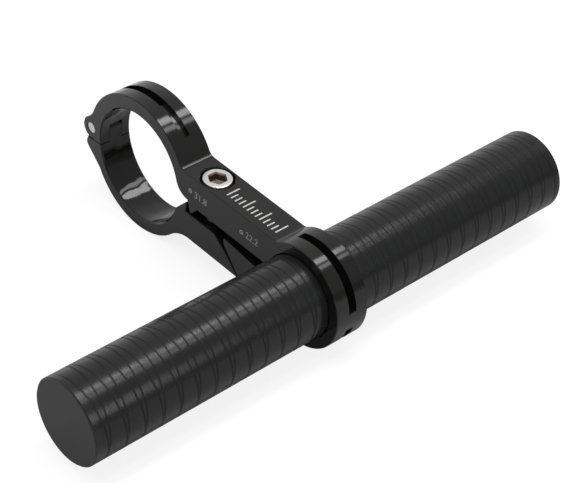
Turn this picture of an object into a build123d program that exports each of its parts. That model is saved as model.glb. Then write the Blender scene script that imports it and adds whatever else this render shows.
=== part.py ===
from build123d import *
import math
import os

os.makedirs("parts", exist_ok=True)

# All lengths in millimetres, angles in degrees.
# The side profile is drawn in the plane of Y and Z with the bar clamp's bore centre at the origin and
# the arm's flat top level.  The finished object is then turned about X by REST_TILT, so that the two
# rings stand on one level floor.

# Plate that the bracket is cut from
PLATE_WIDTH = 10.0
HALF_WIDTH = PLATE_WIDTH / 2
EDGE_CHAMFER = 0.2
BORE_CHAMFER = 0.4
PART_GAP = 0.3

# Clamp for the 31.8 mm handlebar.  The outsides of its two halves are drawn a little off the
# bore's centre, the upper one thicker at the hinge and the jaw thicker under the arm.
BAR_BORE_RADIUS = 15.9
CLAMP_WALL = 4.05
CLAMP_OUTER_RADIUS = BAR_BORE_RADIUS + CLAMP_WALL
CLAMP_SHIFT = (0.3, 0.1)
JAW_WALL = 3.35
JAW_OUTER_RADIUS = BAR_BORE_RADIUS + JAW_WALL
JAW_SHIFT = (-0.35, -0.2)

# Tube and the ring that grips it
TUBE_RADIUS = 11.1
TUBE_WALL = 1.7
TUBE_BORE_RADIUS = TUBE_RADIUS - TUBE_WALL
TUBE_RUN_CLEARANCE = 0.03
TUBE_GRIP_RELIEF = 0.17
TUBE_GRIP_HALF = HALF_WIDTH + 0.3
RING_BORE_RADIUS = TUBE_RADIUS + TUBE_RUN_CLEARANCE
RING_WALL = 3.05
RING_OUTER_RADIUS = RING_BORE_RADIUS + RING_WALL
RING_Z = -1.0
TUBE_END_NEAR = -74.55
TUBE_END_FAR = 79.75
PLUG_FLANGE = 1.7
PLUG_SPIGOT = 9.0
PLUG_CORNER = 0.4
PLUG_HOLLOW_WALL = 2.0

# Arm between the two rings
ARM_TOP = 9.95
ARM_BOTTOM = -10.3
BAR_BOTTOM = 1.1
LIP_TOP = -1.15
LIP_TOP_INNER = -2.7
JAW_TOP = -2.4
RING_FILLET = 2.4
NECK_FILLET = 10.0

# Split between the clamp's upper half and the jaw, on the arm's side.  The bore's rounded corner
# ends on the split's level, and the tooth, the screw and the ring follow one another from there.
SPLIT_CORNER_Z = 1.5
SPLIT_CORNER_RADIUS = 5.4
CORNER_CENTRE_Z = SPLIT_CORNER_Z + SPLIT_CORNER_RADIUS
CORNER_CENTRE_Y = -math.sqrt((BAR_BORE_RADIUS + SPLIT_CORNER_RADIUS) ** 2 - CORNER_CENTRE_Z ** 2)
TOOTH_LAND = 0.15
TOOTH_Y = CORNER_CENTRE_Y - TOOTH_LAND
TOOTH_ROOT_INNER = (TOOTH_Y, SPLIT_CORNER_Z)
TOOTH_TIP_INNER = (TOOTH_Y - 1.1, -1.45)
TOOTH_TIP_OUTER = (TOOTH_Y - 1.6, -1.35)
TOOTH_ROOT_OUTER = (TOOTH_Y - 3.8, BAR_BOTTOM)
JAW_RAMP_FOOT = (TOOTH_Y + 5.5, -4.6)
JAW_RAMP_MIDDLE = (TOOTH_Y + 2.9, -1.6)
JAW_PEAK = (TOOTH_Y + PART_GAP, SPLIT_CORNER_Z - 0.2)
JAW_PEAK_FOOT = (TOOTH_Y - 0.95, -2.05)
JAW_TOP_START = (TOOTH_Y - 2.0, JAW_TOP)
TOOTH_TO_SCREW = 5.1
SCREW_Y = TOOTH_Y - TOOTH_TO_SCREW
SCREW_TO_RING = 36.5
RING_Y = SCREW_Y - SCREW_TO_RING

# Sloping wedge where the jaw's end bears on the ring's lip
JAW_END_TOP = (RING_Y + 31.0, JAW_TOP)
JAW_END_BREAK = (RING_Y + 26.9, -5.2)
JAW_END_FOOT = (RING_Y + 21.0, ARM_BOTTOM)
JAW_END_ROUND = 2.0
LIP_NOSE_TOP = (RING_Y + 27.5, LIP_TOP)
LIP_NOSE_FOOT = (RING_Y + 27.3, -3.0)
LIP_FLANK_FOOT = (RING_Y + 20.5, ARM_BOTTOM)
LIP_NOSE_ROUND = 0.4

# Hinge opposite the arm
BORE_TO_PIN = 4.0
PIN_Y = BAR_BORE_RADIUS + BORE_TO_PIN
PIN_Z = 0.6
PIN_RADIUS = 1.5
PIN_RUN_CLEARANCE = 0.05
PIN_RECESS = 0.2
PIN_HOLE_CHAMFER = 0.15
EAR_RADIUS = 3.25
EAR_BOTTOM = -2.4
EAR_FILLET = 7.0
KNUCKLE_HALF = 2.0
KNUCKLE_SIDE_GAP = 0.1
KNUCKLE_RADIUS = 3.5
KNUCKLE_ROOM_RADIUS = 4.9
SHOULDER_TOP = EAR_BOTTOM - PART_GAP
SHOULDER_TIP = (PIN_Y + 1.9, -4.1)
SHOULDER_SIDE = (PIN_Y + 1.8, -5.4)
SHOULDER_LOW = (PIN_Y - 1.8, -8.5)
SHOULDER_FOOT_ANGLE = math.radians(-38.5)
SHOULDER_FOOT_RADIUS = JAW_OUTER_RADIUS - 1.5 * BORE_CHAMFER
SHOULDER_FOOT = (
    SHOULDER_FOOT_RADIUS * math.cos(SHOULDER_FOOT_ANGLE),
    SHOULDER_FOOT_RADIUS * math.sin(SHOULDER_FOOT_ANGLE),
)
SHOULDER_ROUND = 1.4
WEB_FOOT_INNER = (PIN_Y - 4.9, -5.0)
WEB_SIDE = (PIN_Y - 4.9, 0.5)
WEB_TOP = (PIN_Y - 2.4, 3.1)

# Grooves round the middle of the two rings
GROOVE_WIDTH = 2.4
CLAMP_GROOVE_END = 130.0
CLAMP_GROOVE_STEP = 97.0
CLAMP_GROOVE_START = 52.0
CLAMP_GROOVE_DEPTH = 1.2
CLAMP_POCKET_DEPTH = 2.5
RING_SLOT_UPPER = (66.0, 172.0)
RING_SLOT_LOWER = (194.0, 300.0)

# Clamp screw, M5 socket head
SCREW_RADIUS = 2.5
SCREW_HEAD_RADIUS = 4.0
SCREW_HEAD_HEIGHT = 5.0
SCREW_LENGTH = 14.0
SCREW_TIP_CHAMFER = 0.5
SCREW_HEAD_CHAMFER = 0.35
SCREW_HEAD_PROUD = 0.4
HEX_ACROSS_FLATS = 4.0
HEX_DEPTH = 2.6
SEAT_CLEARANCE = 0.5
SEAT_RADIUS = SCREW_HEAD_RADIUS + SEAT_CLEARANCE
SEAT_CHAMFER = 0.25
PASS_RADIUS = SCREW_RADIUS + 0.25
THREAD_RADIUS = SCREW_RADIUS + 0.06
SEAT_Z = ARM_TOP + SCREW_HEAD_PROUD - SCREW_HEAD_HEIGHT

# Slope that brings the two rings onto one floor
RING_DROP = JAW_OUTER_RADIUS - RING_OUTER_RADIUS
RING_STEP = (JAW_SHIFT[0] - RING_Y, JAW_SHIFT[1] - RING_Z)
RING_DISTANCE = math.hypot(RING_STEP[0], RING_STEP[1])
REST_TILT = math.degrees(math.asin(RING_DROP / RING_DISTANCE) - math.atan2(RING_STEP[1], RING_STEP[0]))
FAR = 60.0


def plate(face, half):
    """Solid of a side profile, as thick as twice half, centred on the middle of the bracket."""
    return extrude(Plane.YZ * face, amount=half, both=True)


def rounded(face, point, radius):
    """Rounds the corner of a flat profile that lies nearest to a point."""
    corner = face.vertices().sort_by_distance((point[0], point[1], 0))[0]
    return fillet(corner, radius)


def sector(inner, outer, start, end):
    """Flat piece of a ring round the origin between two radii and two angles."""
    reach = 2 * outer
    middle = (start + end) / 2
    corners = [(0, 0)]
    for angle in (start, middle, end):
        corners.append((reach * math.cos(math.radians(angle)), reach * math.sin(math.radians(angle))))
    return (Circle(outer) - Circle(inner)) & Polygon(*corners, align=None)


def softened(face, half):
    """Plate of a profile with the sharp edges of its two flat sides broken."""
    solid = plate(face, half)
    edges = [e for e in solid.edges() if abs(e.center().X) > half - EDGE_CHAMFER]
    return chamfer(edges, EDGE_CHAMFER)


def bored(solid, y, z, radius, break_size):
    """Solid with a bore along X through it, its rims broken on both sides."""
    solid = solid - plate(Pos(y, z) * Circle(radius), HALF_WIDTH)
    start = HALF_WIDTH - break_size
    flare = Cone(radius, radius + 2 * break_size, 2 * break_size, align=(Align.CENTER, Align.CENTER, Align.MIN))
    for side in (Plane.YZ, -Plane.YZ):
        solid = solid - Pos(0, y, z) * (Plane(side.origin, side.x_dir, side.z_dir) * Pos(0, 0, start) * flare)
    return solid


def jaw_room():
    """Profile of everything below the split: slot, jaw and the open space under the arm."""
    face = Polygon(
        (FAR, -FAR),
        (FAR, EAR_BOTTOM),
        (0, EAR_BOTTOM),
        (0, SPLIT_CORNER_Z),
        TOOTH_ROOT_INNER,
        TOOTH_TIP_INNER,
        TOOTH_TIP_OUTER,
        TOOTH_ROOT_OUTER,
        (RING_Y + RING_BORE_RADIUS / 2, BAR_BOTTOM),
        (RING_Y + RING_BORE_RADIUS / 2, LIP_TOP_INNER),
        (RING_Y + RING_BORE_RADIUS, LIP_TOP_INNER),
        LIP_NOSE_TOP,
        LIP_NOSE_FOOT,
        LIP_FLANK_FOOT,
        (LIP_FLANK_FOOT[0], -FAR),
        align=None,
    )
    face = rounded(face, LIP_NOSE_TOP, LIP_NOSE_ROUND)
    return rounded(face, LIP_NOSE_FOOT, LIP_NOSE_ROUND)


def body_outline():
    """Outline of the whole bracket, before its bores and the split are cut."""
    block = Polygon(
        (0, ARM_BOTTOM), (0, ARM_TOP), (RING_Y, ARM_TOP), (RING_Y, ARM_BOTTOM), align=None
    )
    face = Pos(CLAMP_SHIFT[0], CLAMP_SHIFT[1]) * Circle(CLAMP_OUTER_RADIUS) + block
    face = face + Pos(RING_Y, RING_Z) * Circle(RING_OUTER_RADIUS)
    face = face + Pos(PIN_Y, PIN_Z) * Circle(EAR_RADIUS)
    clamp_meet = CLAMP_SHIFT[0] - math.sqrt(CLAMP_OUTER_RADIUS ** 2 - (ARM_TOP - CLAMP_SHIFT[1]) ** 2)
    ring_meet = RING_Y + math.sqrt(RING_OUTER_RADIUS ** 2 - (ARM_TOP - RING_Z) ** 2)
    ring_meet_low = RING_Y + math.sqrt(RING_OUTER_RADIUS ** 2 - (ARM_BOTTOM - RING_Z) ** 2)
    face = rounded(face, (clamp_meet, ARM_TOP), RING_FILLET)
    face = rounded(face, (ring_meet, ARM_TOP), RING_FILLET)
    face = rounded(face, (ring_meet_low, ARM_BOTTOM), RING_FILLET)
    return rounded(face, (PIN_Y, PIN_Z + EAR_RADIUS), EAR_FILLET)


def split_room():
    """Space that parts the clamp's upper half from the jaw, with the bore's rounded lower corner."""
    face = jaw_room() + Circle(BAR_BORE_RADIUS)
    split_meet = (-math.sqrt(BAR_BORE_RADIUS ** 2 - SPLIT_CORNER_Z ** 2), SPLIT_CORNER_Z)
    return rounded(face, split_meet, SPLIT_CORNER_RADIUS)


def corner_flares():
    """What breaks the two rims of the bore's rounded corner, as wide as the bore's own rims."""
    y = CORNER_CENTRE_Y
    z = CORNER_CENTRE_Z
    wedge = Polygon((y, z), (0, 0), (y, -z), align=None)
    flat = (Pos(y, z) * Circle(SPLIT_CORNER_RADIUS + PART_GAP)) & wedge
    start = HALF_WIDTH - BORE_CHAMFER
    flares = plate(flat, HALF_WIDTH) - plate(flat, start)
    cone = Cone(
        SPLIT_CORNER_RADIUS, SPLIT_CORNER_RADIUS - 2 * BORE_CHAMFER, 2 * BORE_CHAMFER,
        align=(Align.CENTER, Align.CENTER, Align.MIN),
    )
    for side in (Plane.YZ, -Plane.YZ):
        flares = flares - Pos(0, y, z) * (Plane(side.origin, side.x_dir, side.z_dir) * Pos(0, 0, start) * cone)
    return flares


def clamp_body():
    """Upper half of the bar clamp, arm, screw seat, hinge ears and the ring round the tube."""
    solid = softened(body_outline(), HALF_WIDTH)
    solid = bored(solid, 0, 0, BAR_BORE_RADIUS, BORE_CHAMFER)
    solid = bored(solid, RING_Y, RING_Z, RING_BORE_RADIUS, EDGE_CHAMFER)
    solid = solid - plate(split_room(), HALF_WIDTH) - corner_flares()
    knuckle_room = Pos(PIN_Y, PIN_Z) * Circle(KNUCKLE_ROOM_RADIUS)
    below = Polygon(
        (WEB_FOOT_INNER[0], -FAR),
        (FAR, -FAR),
        (FAR, PIN_Z),
        (WEB_FOOT_INNER[0], PIN_Z),
        align=None,
    )
    knuckle_room = knuckle_room + below
    solid = solid - plate(knuckle_room, KNUCKLE_HALF + KNUCKLE_SIDE_GAP)
    solid = bored(solid, PIN_Y, PIN_Z, PIN_RADIUS, PIN_HOLE_CHAMFER)
    groove = sector(
        CLAMP_OUTER_RADIUS - CLAMP_GROOVE_DEPTH, 2 * CLAMP_OUTER_RADIUS, CLAMP_GROOVE_STEP, CLAMP_GROOVE_END
    )
    pocket = sector(
        CLAMP_OUTER_RADIUS - CLAMP_POCKET_DEPTH, 2 * CLAMP_OUTER_RADIUS, CLAMP_GROOVE_START, CLAMP_GROOVE_STEP
    )
    solid = solid - plate(groove, GROOVE_WIDTH / 2) - plate(pocket, GROOVE_WIDTH / 2)
    for start, end in (RING_SLOT_UPPER, RING_SLOT_LOWER):
        slot = sector(RING_BORE_RADIUS - PART_GAP, 2 * RING_OUTER_RADIUS, start, end)
        solid = solid - plate(Pos(RING_Y, RING_Z) * slot, GROOVE_WIDTH / 2)
    seat = Pos(0, SCREW_Y, SEAT_Z) * Cylinder(
        SEAT_RADIUS, ARM_TOP, align=(Align.CENTER, Align.CENTER, Align.MIN)
    )
    bell = Pos(0, SCREW_Y, ARM_TOP - SEAT_CHAMFER) * Cone(
        SEAT_RADIUS, SEAT_RADIUS + 2 * SEAT_CHAMFER, 2 * SEAT_CHAMFER,
        align=(Align.CENTER, Align.CENTER, Align.MIN),
    )
    passage = Pos(0, SCREW_Y, JAW_TOP) * Cylinder(
        PASS_RADIUS, ARM_TOP - JAW_TOP, align=(Align.CENTER, Align.CENTER, Align.MIN)
    )
    return solid - seat - bell - passage


def jaw_outline():
    """Outline of the jaw, before the bore and the split are cut."""
    block = Polygon(
        (0, ARM_BOTTOM), (0, JAW_TOP), JAW_END_TOP, JAW_END_BREAK, JAW_END_FOOT, align=None
    )
    block = rounded(block, JAW_END_TOP, JAW_END_ROUND)
    face = Pos(JAW_SHIFT[0], JAW_SHIFT[1]) * Circle(JAW_OUTER_RADIUS) + block
    meet = JAW_SHIFT[0] - math.sqrt(JAW_OUTER_RADIUS ** 2 - (ARM_BOTTOM - JAW_SHIFT[1]) ** 2)
    face = rounded(face, (meet, ARM_BOTTOM), NECK_FILLET)
    shoulder = Polygon(
        (0, SHOULDER_TOP),
        (SHOULDER_TIP[0] - 2 * PART_GAP, SHOULDER_TOP),
        SHOULDER_TIP,
        SHOULDER_SIDE,
        SHOULDER_LOW,
        SHOULDER_FOOT,
        (0, SHOULDER_FOOT[1]),
        align=None,
    )
    return face + rounded(shoulder, SHOULDER_SIDE, SHOULDER_ROUND)


def jaw_limit():
    """Profile of the space above the jaw: over its shoulders, inside the bore and over its ramp."""
    return Polygon(
        (FAR, SHOULDER_TOP),
        (0, SHOULDER_TOP),
        (0, JAW_RAMP_FOOT[1]),
        JAW_RAMP_FOOT,
        JAW_RAMP_MIDDLE,
        JAW_PEAK,
        (JAW_PEAK[0], FAR),
        (FAR, FAR),
        align=None,
    )


def clamp_jaw():
    """Swinging lower half of the bar clamp with its hinge knuckle and threaded arm."""
    solid = softened(jaw_outline(), HALF_WIDTH)
    solid = bored(solid, 0, 0, BAR_BORE_RADIUS, BORE_CHAMFER)
    beyond = Polygon((-FAR, JAW_TOP), (-FAR, FAR), (JAW_PEAK[0], FAR), JAW_PEAK, JAW_PEAK_FOOT, JAW_TOP_START,
                     align=None)
    solid = solid - plate(jaw_limit(), HALF_WIDTH) - plate(beyond, HALF_WIDTH)
    outer_room = Pos(PIN_Y, PIN_Z) * Circle(EAR_RADIUS + PART_GAP)
    solid = solid - plate(outer_room, HALF_WIDTH)
    web = Polygon(
        WEB_FOOT_INNER, WEB_SIDE, WEB_TOP, (PIN_Y, PIN_Z), SHOULDER_TIP, SHOULDER_SIDE, align=None
    )
    knuckle = Pos(PIN_Y, PIN_Z) * Circle(KNUCKLE_RADIUS) + web - Circle(BAR_BORE_RADIUS)
    solid = solid + plate(knuckle, KNUCKLE_HALF)
    solid = solid - plate(Pos(PIN_Y, PIN_Z) * Circle(PIN_RADIUS + PIN_RUN_CLEARANCE), HALF_WIDTH)
    return solid - Pos(0, SCREW_Y, ARM_BOTTOM) * Cylinder(THREAD_RADIUS, ARM_TOP * 2)


def hinge_pin():
    """Plain steel pin, pressed into the ears a little below both sides of the bracket."""
    return plate(Pos(PIN_Y, PIN_Z) * Circle(PIN_RADIUS), HALF_WIDTH - PIN_RECESS)


def clamp_screw():
    """Socket head cap screw that draws the jaw's arm up to the bracket's arm."""
    up = (Align.CENTER, Align.CENTER, Align.MIN)
    head = Cylinder(SCREW_HEAD_RADIUS, SCREW_HEAD_HEIGHT, align=up)
    head = chamfer(head.edges().sort_by(Axis.Z)[-1], SCREW_HEAD_CHAMFER)
    shank = Cylinder(SCREW_RADIUS, SCREW_LENGTH, align=(Align.CENTER, Align.CENTER, Align.MAX))
    shank = chamfer(shank.edges().sort_by(Axis.Z)[0], SCREW_TIP_CHAMFER)
    hexagon = RegularPolygon(HEX_ACROSS_FLATS / 2, 6, major_radius=False)
    socket = Pos(0, 0, SCREW_HEAD_HEIGHT - HEX_DEPTH) * extrude(hexagon, amount=2 * HEX_DEPTH)
    return Pos(0, SCREW_Y, SEAT_Z) * (head + shank - socket)


def along_tube(solid):
    """Places a piece drawn round the X axis onto the tube's axis."""
    return Pos(0, RING_Y, RING_Z) * solid


def extension_tube():
    """Straight hollow tube gripped by the open ring, a hair slimmer in the band under the ring."""
    near = TUBE_END_NEAR + PLUG_FLANGE
    far = TUBE_END_FAR - PLUG_FLANGE
    section = Circle(TUBE_RADIUS) - Circle(TUBE_BORE_RADIUS)
    tube = Pos(near, 0, 0) * extrude(Plane.YZ * section, amount=far - near)
    band = plate(Circle(TUBE_RADIUS + PART_GAP) - Circle(TUBE_RADIUS - TUBE_GRIP_RELIEF), TUBE_GRIP_HALF)
    return along_tube(tube - band)


def end_plug(end, inward):
    """Plug with a flush flange, pushed into the tube's end.  Inward is the way into the tube."""
    flange = extrude(Plane.YZ * Circle(TUBE_RADIUS), amount=inward * PLUG_FLANGE)
    rim = flange.edges().filter_by(GeomType.CIRCLE).sort_by_distance((0, 0, 0))[0]
    flange = chamfer(rim, PLUG_CORNER)
    spigot_section = Circle(TUBE_BORE_RADIUS) - Circle(TUBE_BORE_RADIUS - PLUG_HOLLOW_WALL)
    spigot = extrude(Plane.YZ * spigot_section, amount=inward * PLUG_SPIGOT)
    spigot = Pos(inward * PLUG_FLANGE, 0, 0) * spigot
    return along_tube(Pos(end, 0, 0) * (flange + spigot))


def finished(shape):
    """Turns a piece from the drawing position to the standing position."""
    return shape.rotate(Axis.X, REST_TILT)


nodes = {
    "clamp_body": clamp_body(),
    "clamp_jaw": clamp_jaw(),
    "hinge_pin": hinge_pin(),
    "clamp_screw": clamp_screw(),
    "extension_tube": extension_tube(),
    "end_plug_left": end_plug(TUBE_END_NEAR, 1),
    "end_plug_right": end_plug(TUBE_END_FAR, -1),
}

for name, shape in nodes.items():
    export_step(finished(shape), "parts/" + name + ".step")
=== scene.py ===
import math

import bpy
import numpy as np
from mathutils import Matrix, Vector


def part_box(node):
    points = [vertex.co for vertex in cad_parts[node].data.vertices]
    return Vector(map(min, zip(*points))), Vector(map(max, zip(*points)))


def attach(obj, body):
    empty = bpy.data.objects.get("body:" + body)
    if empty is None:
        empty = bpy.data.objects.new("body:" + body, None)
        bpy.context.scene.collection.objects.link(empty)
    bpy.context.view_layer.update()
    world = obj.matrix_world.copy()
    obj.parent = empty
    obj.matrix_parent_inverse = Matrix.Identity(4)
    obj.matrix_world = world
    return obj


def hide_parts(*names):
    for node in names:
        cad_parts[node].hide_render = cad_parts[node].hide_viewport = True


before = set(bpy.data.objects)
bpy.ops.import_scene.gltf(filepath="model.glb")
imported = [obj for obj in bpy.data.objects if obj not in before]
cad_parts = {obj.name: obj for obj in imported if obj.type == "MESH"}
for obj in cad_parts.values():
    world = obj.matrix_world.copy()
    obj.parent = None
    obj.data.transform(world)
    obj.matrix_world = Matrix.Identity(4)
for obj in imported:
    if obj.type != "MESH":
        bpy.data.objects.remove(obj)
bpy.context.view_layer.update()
MM = 0.001

# Bracket: the upper half of the handlebar clamp, the arm and the open ring round the tube, with
# the swinging jaw under it.  Both are cut from one thickness of aluminium plate, their edges
# broken, and then blasted and anodised black.


class Flow:
    """A socket that can be written in expressions: each operation adds its Math node."""

    def __init__(self, tree, socket=None):
        self.tree = tree
        self.socket = socket

    def node(self, kind, settings=None, **inputs):
        """A new node of one type: its settings first, then its sockets as values or as flows.

        An input is named as its socket is, with _ for a space, or _0, _1 for a place."""
        made = self.tree.nodes.new(kind)
        for name, value in (settings or {}).items():
            if name == "stops":
                while len(made.color_ramp.elements) < len(value):
                    made.color_ramp.elements.new(1.0)
                for element, (place, level) in zip(made.color_ramp.elements, value):
                    element.position = place
                    element.color = (level, level, level, 1.0)
            else:
                setattr(made, name, value)
        for name, value in inputs.items():
            socket = made.inputs[int(name[1:]) if name[0] == "_" else name.replace("_", " ")]
            if isinstance(value, Flow):
                self.tree.links.new(value.socket, socket)
            else:
                socket.default_value = value
        return made

    def out(self, made, name=0):
        """The flow that leaves one socket of a node."""
        return Flow(self.tree, made.outputs[name])

    def math(self, operation, *values):
        """One Math node on this flow and on further values or flows."""
        inputs = {"_" + str(place): value for place, value in enumerate((self,) + values)}
        return self.out(self.node("ShaderNodeMath", {"operation": operation}, **inputs))

    def held(self):
        """This flow held between 0 and 1."""
        return self.math("MAXIMUM", 0.0).math("MINIMUM", 1.0)

    def places(self):
        """The places of the piece in the shared frame."""
        return self.out(self.node("ShaderNodeTexCoord"), "Object")

    def parts(self, places, axes):
        """Single coordinates of a flow of places."""
        split = self.node("ShaderNodeSeparateXYZ", Vector=places)
        return [self.out(split, axis) for axis in axes]

    def noise(self, places, scale, detail):
        """Soft noise over places, about 0.5 on average."""
        return self.out(self.node("ShaderNodeTexNoise", Vector=places, Scale=scale, Detail=detail))

    def __add__(self, other):
        return self.math("ADD", other)

    __radd__ = __add__

    def __sub__(self, other):
        return self.math("SUBTRACT", other)

    def __rsub__(self, other):
        return self * -1.0 + other

    def __mul__(self, other):
        return self.math("MULTIPLY", other)

    __rmul__ = __mul__

    def __truediv__(self, other):
        return self.math("DIVIDE", other)


def new_material(name):
    """A material without nodes, and the flow that its nodes start from."""
    material = bpy.data.materials.new(name)
    material.use_nodes = True
    material.node_tree.nodes.clear()
    return material, Flow(material.node_tree)


def surface_from(start, shader):
    """Joins a shader node to the material's output."""
    start.node("ShaderNodeOutputMaterial", Surface=start.out(shader))


def dress(name, material):
    """Gives a CAD node its material."""
    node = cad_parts[name]
    node.data.materials.clear()
    node.data.materials.append(material)


BLACK_FILM = (0.006, 0.0059, 0.0055, 1.0)
BLAST_GRAIN = 6000.0
BORE_REACH = 16.35 * MM
BORE_EDGE = 0.06 * MM
WAVE_SCALE = 170.0
SHEEN_SCALE = 150.0
PIT_HEIGHT = 0.05
WAVE_HEIGHT = 14.0
FILM_ROUGHNESS = 0.09
TURNED_GLOSS = 0.04


def anodised_bracket(name):
    """Film over blasted metal, and over turned metal inside the bar's bore: within the bore's
    reach of the X axis the pits give way to slow waves and the sheen is sharper."""
    material, start = new_material(name)
    places = start.places()
    y, z = start.parts(places, "YZ")
    reach = (y * y + z * z).math("SQRT")
    turned = ((BORE_REACH - reach) / BORE_EDGE).held()
    pits = start.noise(places, BLAST_GRAIN, 2.0)
    waves = start.noise(places, WAVE_SCALE, 1.0)
    sheen = start.noise(places, SHEEN_SCALE, 3.0)
    height = pits * (1.0 - turned) * PIT_HEIGHT + waves * turned * WAVE_HEIGHT
    bump = start.out(start.node("ShaderNodeBump", Height=height, Strength=1.0, Distance=0.03 * MM))
    shader = start.node(
        "ShaderNodeBsdfPrincipled", Base_Color=BLACK_FILM, IOR=1.5,
        Roughness=sheen * 0.06 + FILM_ROUGHNESS - turned * TURNED_GLOSS, Normal=bump,
    )
    surface_from(start, shader)
    return material


black_anodised = anodised_bracket("black_anodised_aluminium")
for part in ("clamp_body", "clamp_jaw"):
    dress(part, black_anodised)

# Marks: lasered through the black film down to pale metal, with no depth to feel.  The near side
# of the arm has the two bore sizes, each beside its bore, and the arm's top has a plain scale of
# short ticks for setting the bracket square to the stem.

HALF_WIDTH = 5.0 * MM
ARM_TOP = 9.95 * MM
RING_Y = -61.9014 * MM
RING_Z = -1.0 * MM
MARK_DEPTH = 0.02 * MM
MARK_LIFT = 0.012 * MM
LASER_GREY = (0.3, 0.3, 0.295, 1.0)
LASER_BRIGHT = (0.5, 0.5, 0.495, 1.0)
BLOCK_SIDES = np.array([
    [0, 2, 3, 1], [4, 5, 7, 6], [0, 1, 5, 4], [2, 6, 7, 3], [0, 4, 6, 2], [1, 3, 7, 5],
])
DIGIT_SHARE = 0.73
SIGN_STEPS = 40
SIGN_RADIUS = 0.68 * MM
SIGN_LINE = 0.36 * MM
STROKE_SHARE = 1.35
STROKE_LEAN = math.radians(52.0)

tube_low, tube_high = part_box("extension_tube")
TUBE_Y = (tube_low.y + tube_high.y) / 2
TUBE_Z = (tube_low.z + tube_high.z) / 2
REST_TILT = math.atan2(-TUBE_Z, -TUBE_Y) - math.atan2(-RING_Z, -RING_Y)
STANDING = np.array(Matrix.Rotation(REST_TILT, 3, "X"))


def stood(points):
    """Points drawn with the arm level, turned about X to how the bracket stands."""
    return np.asarray(points, float) @ STANDING.T


def solid_from(name, points, faces, material, body):
    """A mesh object at the origin from its points and faces, with a material, riding a body."""
    mesh = bpy.data.meshes.new(name)
    mesh.from_pydata(np.asarray(points, float).tolist(), [], [list(f) for f in faces])
    mesh.materials.append(material)
    mesh.update()
    made = bpy.data.objects.new(name, mesh)
    bpy.context.scene.collection.objects.link(made)
    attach(made, body)
    return made


def laser_mark(name, colour, roughness):
    """Bare metal opened by the laser: pale, dull and finely mottled."""
    material, start = new_material(name)
    places = start.places()
    mottle = start.noise(places, 9000.0, 2.0)
    shader = start.node(
        "ShaderNodeBsdfPrincipled", Base_Color=colour, Roughness=mottle * 0.1 + roughness, IOR=1.45
    )
    surface_from(start, shader)
    return material


def block_grid(corners):
    """Flat blocks from arrays of low and high corners: the eight corners of each block, and its
    six faces turned outwards."""
    low, high = corners[:, 0], corners[:, 1]
    pick = np.array([[(i >> b) & 1 for b in (0, 1, 2)] for i in range(8)])
    points = low[:, None, :] * (1 - pick) + high[:, None, :] * pick
    faces = BLOCK_SIDES[None] + 8 * np.arange(len(corners))[:, None, None]
    return points.reshape(-1, 3), faces.reshape(-1, 4)


def lettering(name, text, height, start_y, base_z, material):
    """Words on the near side: text drawn flat, made a thin mesh, then stood up on the side."""
    curve = bpy.data.curves.new(name, "FONT")
    curve.body = text
    curve.size = height / DIGIT_SHARE
    curve.extrude = MARK_DEPTH / 2
    curve.resolution_u = 4
    drawn = bpy.data.objects.new(name + "_drawn", curve)
    bpy.context.scene.collection.objects.link(drawn)
    bpy.context.view_layer.update()
    settled = drawn.evaluated_get(bpy.context.evaluated_depsgraph_get())
    mesh = bpy.data.meshes.new_from_object(settled)
    bpy.data.objects.remove(drawn)
    flat = np.zeros(len(mesh.vertices) * 3)
    mesh.vertices.foreach_get("co", flat)
    flat = flat.reshape(-1, 3)
    across = flat[:, 0] - flat[:, 0].min()
    placed = np.stack([-HALF_WIDTH - flat[:, 2], start_y - across, base_z + flat[:, 1]], 1)
    mesh.vertices.foreach_set("co", stood(placed).ravel())
    mesh.materials.clear()
    mesh.materials.append(material)
    mesh.update()
    made = bpy.data.objects.new(name, mesh)
    bpy.context.scene.collection.objects.link(made)
    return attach(made, "bracket")


def diameter_sign(name, centre_y, centre_z, radius, line, material):
    """A ring with a stroke through it, on the side: a band between two circles, and a slanted
    bar.  Round the ring a place is the radius times the cosine and the sine of the turn."""
    turn = np.arange(SIGN_STEPS) * 2 * math.pi / SIGN_STEPS
    around = np.stack([np.cos(turn), np.sin(turn)], 1)
    radii = np.array([radius, radius, radius - line, radius - line])
    depth = np.array([-1.0, 1.0, 1.0, -1.0]) * MARK_DEPTH / 2
    flat = around[:, None, :] * radii[None, :, None]
    out = np.broadcast_to(depth[None, :, None], flat.shape[:2] + (1,))
    ring = [-HALF_WIDTH - out, centre_y - flat[..., :1], centre_z + flat[..., 1:]]
    ring = np.concatenate(ring, 2)
    column = np.arange(SIGN_STEPS)[:, None]
    row = np.arange(4)[None, :]
    quad = [column * 4 + row, column * 4 + (row + 1) % 4]
    beyond = (column + 1) % SIGN_STEPS
    follow = [beyond * 4 + (row + 1) % 4, beyond * 4 + row]
    faces = np.stack(quad + follow, -1).reshape(-1, 4)
    along = np.array([math.cos(STROKE_LEAN), math.sin(STROKE_LEAN)])
    beside = np.array([-along[1], along[0]])
    ends = np.array([(a, b) for a in (-1, 1) for b in (-1, 1)])
    bar = ends[:, :1] * (STROKE_SHARE * radius) * along + ends[:, 1:] * line / 2 * beside
    bar = np.concatenate([bar, bar])
    lift = np.repeat([-1.0, 1.0], 4)[:, None] * MARK_DEPTH / 2
    stroke = [-HALF_WIDTH - lift, centre_y - bar[:, :1], centre_z + bar[:, 1:]]
    stroke = np.concatenate(stroke, 1)
    points = np.concatenate([ring.reshape(-1, 3), stroke])
    every = np.concatenate([faces, BLOCK_SIDES + SIGN_STEPS * 4])
    return solid_from(name, stood(points), every, material, "bracket")


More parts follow.
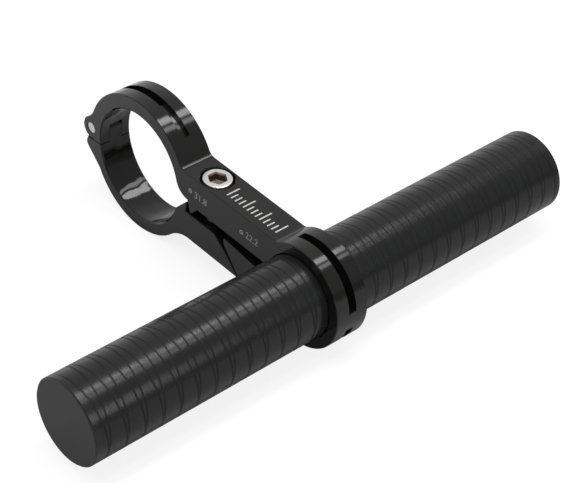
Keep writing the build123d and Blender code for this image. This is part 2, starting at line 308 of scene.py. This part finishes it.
laser_grey = laser_mark("laser_mark_side", LASER_GREY, 0.55)
laser_bright = laser_mark("laser_mark_top", LASER_BRIGHT, 0.5)
SIZE_MARKS = (
    ("clamp_size", "31.8", 2.1 * MM, -22.7 * MM, 4.3 * MM, -20.95 * MM, 5.4 * MM),
    ("tube_size", "22.2", 2.0 * MM, -42.2 * MM, 4.3 * MM, -40.65 * MM, 4.9 * MM),
)
for label, size_text, tall, from_y, foot_z, sign_y, sign_z in SIZE_MARKS:
    lettering(label + "_mark", size_text, tall, from_y, foot_z, laser_grey)
    diameter_sign(label + "_sign", sign_y, sign_z, SIGN_RADIUS, SIGN_LINE, laser_grey)

SCALE_START = -32.0 * MM
SCALE_STEP = 1.5 * MM
SCALE_TICKS = 13
LONG_EVERY = 4
LONG_TICK = 4.2 * MM
SHORT_TICK = 2.4 * MM
TICK_FOOT_X = -2.6 * MM
TICK_HALF = 0.21 * MM
tick = np.arange(SCALE_TICKS)
tick_y = SCALE_START - tick * SCALE_STEP
tick_long = np.where(tick % LONG_EVERY == 0, LONG_TICK, SHORT_TICK)
tick_one = np.ones(SCALE_TICKS)
foot_x = TICK_FOOT_X * tick_one
tick_low = (foot_x, tick_y - TICK_HALF, (ARM_TOP - MARK_DEPTH / 2) * tick_one)
tick_high = (foot_x + tick_long, tick_y + TICK_HALF, (ARM_TOP + MARK_LIFT) * tick_one)
blocks = np.stack([np.stack(tick_low, 1), np.stack(tick_high, 1)], 1)
tick_points, tick_faces = block_grid(blocks)
solid_from("top_scale", stood(tick_points), tick_faces, laser_bright, "bracket")

# Hinge pin: a plain 3 mm steel pin, ground and polished, pressed through the two ears, with its
# ends just below both sides.


def bright_steel(name, colour, roughness, grain):
    """Polished steel: a metal with a fine lay of scratches that changes only its roughness."""
    material, start = new_material(name)
    places = start.places()
    lay = start.noise(places, grain, 3.0)
    shader = start.node(
        "ShaderNodeBsdfPrincipled", Base_Color=colour, Metallic=1.0,
        Roughness=lay * 0.12 + (roughness - 0.06),
    )
    surface_from(start, shader)
    return material


pin_steel = bright_steel("ground_steel", (0.7, 0.69, 0.66, 1.0), 0.3, 2500.0)
dress("hinge_pin", pin_steel)

# Clamp screw: an M5 socket head cap screw of stainless steel.  The head is forged and turned with
# a hexagon socket, and the thread is rolled; it passes the arm and threads into the jaw's arm.

SCREW_Y = -25.4014 * MM
SCREW_RADIUS = 2.5 * MM
HEAD_RADIUS = 3.95 * MM
HEAD_HEIGHT = 4.6 * MM
SCREW_LENGTH = 14.0 * MM
SEAT_Z = 5.35 * MM
SOCKET_HALF = 2.0 * MM
SOCKET_DEPTH = 2.2 * MM
THREAD_PITCH = 0.8 * MM
THREAD_DEPTH = 0.42 * MM
THREAD_TOP = -1.2 * MM
THREAD_ROWS = 150
THREAD_CREST = 0.12
SOCKET_MOUTH = 0.35 * MM
SCREW_COLUMNS = 96


def hexagon_radius(turn, half):
    """Distance from the centre to a hexagon's side: half its width over the cosine of the angle
    to the nearest side's middle."""
    sixth = math.pi / 3
    return half / np.cos((turn + sixth / 2) % sixth - sixth / 2)


def screw_surface():
    """Rows of the screw from the socket's floor to the tip, each a radius and a height round the
    axis.  In the thread the radius falls and rises as a flattened saw of height over pitch less
    the turn, and near the tip it is held under a cone."""
    turn = np.arange(SCREW_COLUMNS) * 2 * math.pi / SCREW_COLUMNS
    one = np.ones(SCREW_COLUMNS)
    floor_z = HEAD_HEIGHT - SOCKET_DEPTH
    flats = hexagon_radius(turn + math.pi / 6, SOCKET_HALF)
    rows = [(flats * share, (floor_z - sink) * one)
            for share, sink in ((0.02, 0.5 * MM), (0.85, 0.12 * MM), (1.0, 0.0))]
    rows.append((flats, (HEAD_HEIGHT - SOCKET_MOUTH) * one))
    rows.append((flats + SOCKET_MOUTH, HEAD_HEIGHT * one))
    for radius, height in (
        (HEAD_RADIUS - 0.5 * MM, HEAD_HEIGHT),
        (HEAD_RADIUS - 0.15 * MM, HEAD_HEIGHT - 0.12 * MM),
        (HEAD_RADIUS, HEAD_HEIGHT - 0.45 * MM),
        (HEAD_RADIUS, 0.25 * MM),
        (HEAD_RADIUS - 0.25 * MM, 0.0),
        (SCREW_RADIUS + 0.2 * MM, 0.0),
        (SCREW_RADIUS, -0.2 * MM),
        (SCREW_RADIUS, THREAD_TOP),
    ):
        rows.append((radius * one, height * one))
    thread_z = np.linspace(THREAD_TOP - 0.02 * MM, 0.02 * MM - SCREW_LENGTH, THREAD_ROWS)
    for height in thread_z:
        wave = np.abs((height / THREAD_PITCH - turn / (2 * math.pi)) % 1.0 - 0.5) * 2
        cut = np.clip((wave - THREAD_CREST) / (1 - 2 * THREAD_CREST), 0, 1)
        fade = min(1.0, (THREAD_TOP - height) / THREAD_PITCH)
        tip = np.clip(SCREW_RADIUS - 0.55 * MM + (height + SCREW_LENGTH), 0, SCREW_RADIUS)
        rows.append((np.minimum(SCREW_RADIUS - THREAD_DEPTH * cut * fade, tip), height * one))
    rows.append((SCREW_RADIUS * 0.02 * one, -SCREW_LENGTH * one))
    radius = np.array([r for r, _ in rows])
    height = np.array([h for _, h in rows])
    return np.stack([radius * np.cos(turn), SCREW_Y + radius * np.sin(turn), SEAT_Z + height], -1)


def closed_rows(points):
    """Points and faces of a stack of closed rows, with a face over the first and the last."""
    count, columns = points.shape[:2]
    row = np.arange(count - 1)[:, None]
    column = np.arange(columns)[None, :]
    follow = (column + 1) % columns
    faces = np.stack(
        [row * columns + column, (row + 1) * columns + column,
         (row + 1) * columns + follow, row * columns + follow], -1
    ).reshape(-1, 4).tolist()
    faces.append(list(range(columns)))
    faces.append(list(range(count * columns - 1, (count - 1) * columns - 1, -1)))
    return points.reshape(-1, 3), faces


def smooth_to(made, angle):
    """Shades a piece smooth, with its edges sharp where its faces meet past an angle."""
    made.data.polygons.foreach_set("use_smooth", np.ones(len(made.data.polygons), bool))
    made.data.set_sharp_from_angle(angle=math.radians(angle))
    made.data.update()


stainless = bright_steel("stainless_steel", (0.9, 0.88, 0.84, 1.0), 0.3, 1800.0)
# The socket's walls and floor are dark brown steel, much darker than the head.
brown_socket_steel = bright_steel("dark_brown_socket_steel", (0.2, 0.155, 0.12, 1.0), 0.42, 2500.0)
# The shank and thread are painted darker than the head: painted shade, for the shadowed gap between
# arm and jaw where they sit.
thread_painted_shade = bright_steel("thread_steel_painted_shade", (0.24, 0.235, 0.225, 1.0), 0.4, 2500.0)
SOCKET_ROWS = 4
SHANK_ROW = 11
screw_points, screw_faces = closed_rows(screw_surface())
screw = solid_from("cap_screw", stood(screw_points), screw_faces, stainless, "screw")
smooth_to(screw, 28.0)
screw.data.materials.append(brown_socket_steel)
screw.data.materials.append(thread_painted_shade)
finish = np.zeros(len(screw_faces), np.int32)
finish[:SOCKET_ROWS * SCREW_COLUMNS] = 1
finish[SHANK_ROW * SCREW_COLUMNS:] = 2
finish[-2] = 1
screw.data.polygons.foreach_set("material_index", finish)
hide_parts("clamp_screw")
dress("clamp_screw", stainless)

# Side tube: a straight tube of wound carbon fibre, squeezed by a narrow film while it cured and
# left as it came.  The film's edges run round it as fine dark lines in both directions.

FILM_PITCH = 5.13 * MM
LINE_HALF = 0.36 * MM
CROSSING_X = -65.8 * MM
CROSSING_TURN = (math.radians(197.5) + REST_TILT) / (2 * math.pi)
CURED_RESIN = (0.0105, 0.011, 0.0108, 1.0)
DULL_RESIN = (0.006, 0.006, 0.006, 1.0)
STREAK_SQUEEZE = 0.12
STREAK_HEIGHT = 2.0
GRAIN_HEIGHT = 0.15


def wound_tube_finish(name):
    """Cured resin over fibre: two helices of shallow film lines round the tube's axis, where a
    line is near a whole number of x over pitch plus or minus the turn."""
    material, start = new_material(name)
    places = start.places()
    x, y, z = start.parts(places, "XYZ")
    turn = (z - TUBE_Z).math("ARCTAN2", y - TUBE_Y) / (2 * math.pi) - CROSSING_TURN
    along = (x - CROSSING_X) / FILM_PITCH
    lines = None
    for way in (-1.0, 1.0):
        apart = ((along + turn * way + 0.5).math("FRACT") - 0.5).math("ABSOLUTE")
        line = (1.0 - apart * (FILM_PITCH / LINE_HALF)).math("MAXIMUM", 0.0)
        lines = line if lines is None else lines.math("MAXIMUM", line)
    squeezed = {"Y": y * STREAK_SQUEEZE, "Z": z * STREAK_SQUEEZE}
    stretched = start.out(start.node("ShaderNodeCombineXYZ", X=x, **squeezed))
    streak = start.noise(stretched, 1300.0, 2.0)
    grain = start.noise(places, 2600.0, 3.0)
    patch = start.noise(places, 130.0, 3.0)
    height = grain * GRAIN_HEIGHT + streak * STREAK_HEIGHT - lines
    bump = start.out(start.node("ShaderNodeBump", Height=height, Strength=1.0, Distance=0.012 * MM))
    cured = start.node(
        "ShaderNodeBsdfPrincipled", Base_Color=CURED_RESIN, IOR=1.4,
        Roughness=patch * 0.08 + streak * 0.26 + 0.06, Normal=bump,
    )
    dull = start.node(
        "ShaderNodeBsdfPrincipled", Base_Color=DULL_RESIN, IOR=1.31, Roughness=0.5, Normal=bump,
    )
    share = (lines * 1.7).math("MINIMUM", 0.95)
    both = {"_1": start.out(cured), "_2": start.out(dull)}
    surface_from(start, start.node("ShaderNodeMixShader", Fac=share, **both))
    return material


dress("extension_tube", wound_tube_finish("wound_carbon"))

# End plugs: moulded in a hard black plastic, with a thin flange that sits flush with the tube and
# a hollow spigot that is pushed into it.

PLUG_GREY = 0.021
SKIRT_REACH = 10.85 * MM
SKIRT_EDGE = 0.1 * MM


def moulded_plastic(name):
    """Hard plastic: a fine even grain over the face, and a darker and glossier skirt, where the
    distance from the tube's axis is past the skirt's reach."""
    material, start = new_material(name)
    places = start.places()
    y, z = start.parts(places, "YZ")
    y, z = y - TUBE_Y, z - TUBE_Z
    reach = (y * y + z * z).math("SQRT")
    skirt = ((reach - SKIRT_REACH) / SKIRT_EDGE).held()
    grain = start.noise(places, 5000.0, 2.0)
    bump = start.out(start.node("ShaderNodeBump", Height=grain, Strength=0.5, Distance=0.01 * MM))
    shader = start.node(
        "ShaderNodeBsdfPrincipled", Base_Color=PLUG_GREY - skirt * 0.012, IOR=1.45,
        Roughness=grain * 0.08 + 0.4 - skirt * 0.16, Normal=bump,
    )
    surface_from(start, shader)
    return material


plug_plastic = moulded_plastic("moulded_plastic")
for part in ("end_plug_left", "end_plug_right"):
    dress(part, plug_plastic)

# Floor: a wide matt sheet under both rings. Seen directly it is topped up to white, and it keeps
# the object's shadow; in reflections it is painted shade, grey below the object, and white behind
# it.

FLOOR_REACH = 4.0
# The grey below the object, seen only in reflections, is painted shade for the floor in and near
# the object's shadow; past the turn in Y it gives way to white.
PAINTED_SHADE_PAPER = (0.46, 0.46, 0.46, 1.0)
FAR_PAPER = (0.92, 0.92, 0.92, 1.0)
SEEN_PAPER = (0.2, 0.2, 0.2, 1.0)
TOP_UP = 0.83
PAINTED_SHADE_END_Y = 27.0 * MM
PAINTED_SHADE_FADE = 60.0 * MM
floor_z = min(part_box(name)[0].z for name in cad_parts)
floor_mesh = bpy.data.meshes.new("floor")
corner = np.array([(-1, -1), (1, -1), (1, 1), (-1, 1)]) * FLOOR_REACH
floor_points = np.concatenate([corner, np.full((4, 1), floor_z)], 1)
floor_mesh.from_pydata(floor_points.tolist(), [], [(0, 1, 2, 3)])
floor = bpy.data.objects.new("floor", floor_mesh)
bpy.context.scene.collection.objects.link(floor)
white_paper, start = new_material("white_paper")
seen = start.out(start.node("ShaderNodeLightPath"), "Is Camera Ray")
painted_shade_paper = start.out(start.node("ShaderNodeBsdfDiffuse", Color=PAINTED_SHADE_PAPER))
far_paper = start.out(start.node("ShaderNodeBsdfDiffuse", Color=FAR_PAPER))
floor_y = start.parts(start.places(), "Y")[0]
behind = ((floor_y - PAINTED_SHADE_END_Y) / PAINTED_SHADE_FADE).held()
paper = start.out(start.node("ShaderNodeMixShader", Fac=behind, _1=painted_shade_paper, _2=far_paper))
shaded = start.out(start.node("ShaderNodeBsdfDiffuse", Color=SEEN_PAPER))
top_up = start.out(start.node("ShaderNodeEmission", Strength=TOP_UP))
lifted = start.out(start.node("ShaderNodeAddShader", _0=shaded, _1=top_up))
surface_from(start, start.node("ShaderNodeMixShader", Fac=seen, _1=paper, _2=lifted))
floor_mesh.materials.append(white_paper)

# Studio: a plain pale room, grey in reflections and white to the eye, with two strip softboxes
# overhead, the second one dimmer, and a wider one low in front of the tube's near end.  The
# room's levels are by the angle about the tube's direction, in degrees up from straight behind.

ROOM_LEVELS = (
    (0, 1.0), (10, 0.92), (30, 0.80), (72, 0.70), (99, 0.58), (115, 0.44),
    (160, 0.40), (167, 0.22), (176, 0.22), (180, 0.5),
)
ROOM_GREY = 0.8
EYE_LEVEL = 1.0 / ROOM_GREY
STRIP_RADIANCE = 5.3
STRIP_SIZE = (1.24, 0.165)
STRIP_PLACE = Vector((-0.005, -0.078, 0.866))
SECOND_RADIANCE = 2.9
SECOND_SIZE = (1.24, 0.11)
SECOND_PLACE = Vector((-0.005, -0.286, 0.822))
FRONT_RADIANCE = 2.4
FRONT_SIZE = (0.60, 0.20)
FRONT_PLACE = Vector((-0.04, -0.586, 0.277))


def softbox(name, place, target, size, radiance):
    """A rectangular lamp that faces a point: its power is four times its radiance and its area."""
    lamp = bpy.data.lights.new(name, "AREA")
    lamp.shape = "RECTANGLE"
    lamp.size, lamp.size_y = size
    lamp.energy = 4.0 * radiance * size[0] * size[1]
    made = bpy.data.objects.new(name, lamp)
    bpy.context.scene.collection.objects.link(made)
    away = (place - target).normalized()
    side = Vector((1.0, 0.0, 0.0))
    side = (side - side.dot(away) * away).normalized()
    turned = Matrix((side, away.cross(side), away)).transposed().to_4x4()
    made.matrix_world = Matrix.Translation(place) @ turned


MIDDLE = Vector((STRIP_PLACE.x, TUBE_Y / 2, 0.0))
softbox("strip_softbox", STRIP_PLACE, MIDDLE, STRIP_SIZE, STRIP_RADIANCE)
softbox("second_softbox", SECOND_PLACE, MIDDLE, SECOND_SIZE, SECOND_RADIANCE)
TUBE_MIDDLE = Vector((FRONT_PLACE.x, TUBE_Y, TUBE_Z))
softbox("front_softbox", FRONT_PLACE, TUBE_MIDDLE, FRONT_SIZE, FRONT_RADIANCE)
world = bpy.data.worlds.new("studio")
bpy.context.scene.world = world
world.use_nodes = True
world.node_tree.nodes.clear()
room = Flow(world.node_tree)
aim_y, aim_z = room.parts(room.out(room.node("ShaderNodeTexCoord"), "Generated"), "YZ")
rise = aim_z.math("ARCTAN2", aim_y) / math.pi
stops = [(angle / 180.0, level) for angle, level in ROOM_LEVELS]
bands = room.out(room.node("ShaderNodeValToRGB", {"stops": stops}, Fac=rise))
direct = room.out(room.node("ShaderNodeLightPath"), "Is Camera Ray")
level = bands * (1.0 - direct) + direct * EYE_LEVEL
light = room.node("ShaderNodeBackground", Color=(ROOM_GREY,) * 3 + (1.0,), Strength=level)
room.node("ShaderNodeOutputWorld", Surface=room.out(light))

# Camera: a long lens above the bracket, on the tube's near end, turned a little about its own axis.

IMAGE_WIDTH = 580
FOCAL_PIXELS = 1769.24
CAMERA_PLACE = Vector((-0.239043, -0.300819, 0.263035))
CAMERA_AZIMUTH = math.radians(-43.9825)
CAMERA_ELEVATION = math.radians(36.9723)
CAMERA_ROLL = math.radians(2.5084)
lens = bpy.data.cameras.new("camera")
lens.sensor_fit = "HORIZONTAL"
lens.sensor_width = 36.0
lens.lens = FOCAL_PIXELS / IMAGE_WIDTH * lens.sensor_width
lens.clip_start = 0.01
lens.clip_end = 20.0
back = Vector((
    math.sin(CAMERA_AZIMUTH) * math.cos(CAMERA_ELEVATION),
    -math.cos(CAMERA_AZIMUTH) * math.cos(CAMERA_ELEVATION),
    math.sin(CAMERA_ELEVATION),
))
level_right = Vector((math.cos(CAMERA_AZIMUTH), math.sin(CAMERA_AZIMUTH), 0.0))
level_up = back.cross(level_right)
right = math.cos(CAMERA_ROLL) * level_right + math.sin(CAMERA_ROLL) * level_up
up = back.cross(right)
camera = bpy.data.objects.new("camera", lens)
bpy.context.scene.collection.objects.link(camera)
camera_turn = Matrix((right, up, back)).transposed().to_4x4()
camera.matrix_world = Matrix.Translation(CAMERA_PLACE) @ camera_turn
bpy.context.scene.camera = camera

bpy.context.scene.view_settings.view_transform = "Standard"
